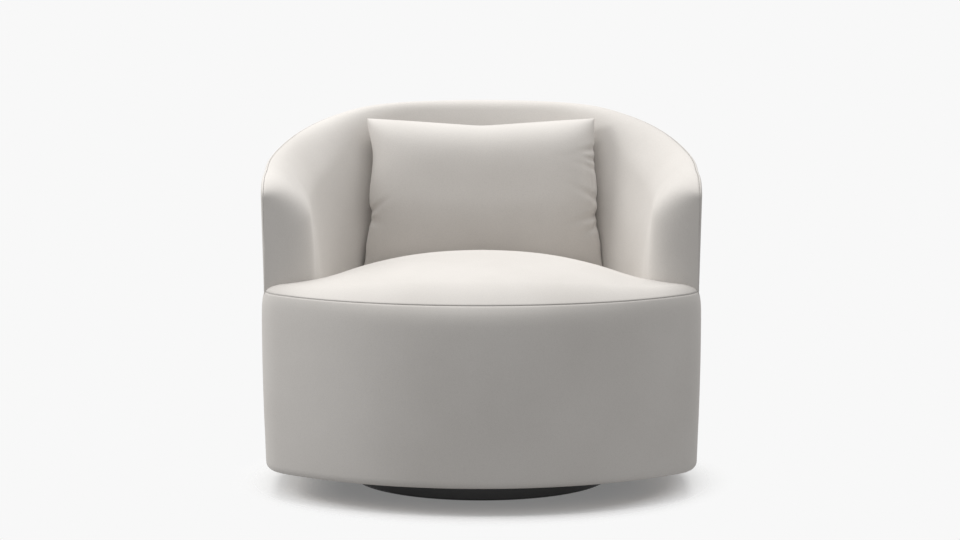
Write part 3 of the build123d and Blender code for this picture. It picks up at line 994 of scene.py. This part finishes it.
# %% [markdown]
# What is left to see of the frame is the black plinth, the turntable above it and the
# glides on the floor. The rest of the frame is inside, but each piece still gets the finish
# of its real material, because the chair can be opened up. Wood, metal and foam share one
# recipe: a grain between two colours, stretched for wood, and a fine bump.

# %% Hard finish
fine_grain = 700.0
grain_height = 0.0008


def hard_finish(name, base, second, rough, metal=0.0, scale=(40.0, 40.0, 40.0), bump=0.05, coat=0.0):
    finish = bpy.data.materials.new(name)
    finish.use_nodes = True
    tree = finish.node_tree
    shader = tree.nodes["Principled BSDF"]
    place = tree.nodes.new("ShaderNodeTexCoord").outputs["Object"]
    mapping = node(tree, "ShaderNodeMapping", Scale=scale)
    tree.links.new(place, mapping.inputs["Vector"])
    grain = noise(tree, mapping.outputs["Vector"], 1.0, 5.0, 0.6)
    fine = noise(tree, place, fine_grain, 2.0, 0.5)
    tree.links.new(colour_ramp(tree, grain, [(0.30, base), (0.72, second)]), shader.inputs["Base Color"])
    tree.links.new(spread(tree, grain, rough * 0.85, min(1.0, rough * 1.2)), shader.inputs["Roughness"])
    shader.inputs["Metallic"].default_value = metal
    shader.inputs["Coat Weight"].default_value = coat
    raise_grain = node(tree, "ShaderNodeBump", Strength=bump, Distance=grain_height)
    tree.links.new(fine, raise_grain.inputs["Height"])
    tree.links.new(raise_grain.outputs["Normal"], shader.inputs["Normal"])
    return finish


print("hard finish: bump of", grain_height * 1000, "mm")

# %% Finishes of the frame
finishes = {
    "black_board": hard_finish("black_lacquer", (0.016, 0.016, 0.017, 1), (0.024, 0.024, 0.024, 1), 0.42,
                               bump=0.04, coat=0.15),
    "glide": hard_finish("dark_nylon", (0.030, 0.030, 0.032, 1), (0.045, 0.045, 0.046, 1), 0.5),
    "ball_steel": hard_finish("ball_steel", (0.62, 0.62, 0.63, 1), (0.70, 0.70, 0.71, 1), 0.15, metal=1.0),
    "plate_steel": hard_finish("black_pressed_steel", (0.020, 0.020, 0.021, 1), (0.040, 0.039, 0.038, 1),
                               0.45, metal=0.6),
    "zinc": hard_finish("zinc_plate", (0.55, 0.56, 0.58, 1), (0.68, 0.68, 0.68, 1), 0.32, metal=1.0),
    "hardboard": hard_finish("hardboard", (0.20, 0.12, 0.07, 1), (0.29, 0.18, 0.11, 1), 0.75,
                             scale=(160, 160, 160)),
    "plywood": hard_finish("birch_ply", (0.56, 0.40, 0.24, 1), (0.70, 0.54, 0.35, 1), 0.6,
                           scale=(14, 14, 150)),
    "foam": hard_finish("foam", (0.78, 0.72, 0.55, 1), (0.86, 0.81, 0.66, 1), 0.95,
                        scale=(300, 300, 300), bump=0.3),
    "fibre": hard_finish("fibre_fill", (0.82, 0.82, 0.80, 1), (0.92, 0.92, 0.91, 1), 0.98,
                         scale=(90, 90, 90)),
    "black_cloth": cloth_finish("black_cambric", (0.030, 0.030, 0.031, 1), (0.018, 0.018, 0.019, 1),
                                grain=1400.0),
    "webbing": cloth_finish("jute_webbing", (0.46, 0.36, 0.23, 1), (0.34, 0.25, 0.15, 1),
                            grain=600.0, bump=0.5),
    "upholstery": cover_cloth,
}
for item in frame["record"]["subparts"]:
    piece = frame["nodes"][item["node"]]
    piece.data.materials.clear()
    piece.data.materials.append(finishes[item["material_slot"]])
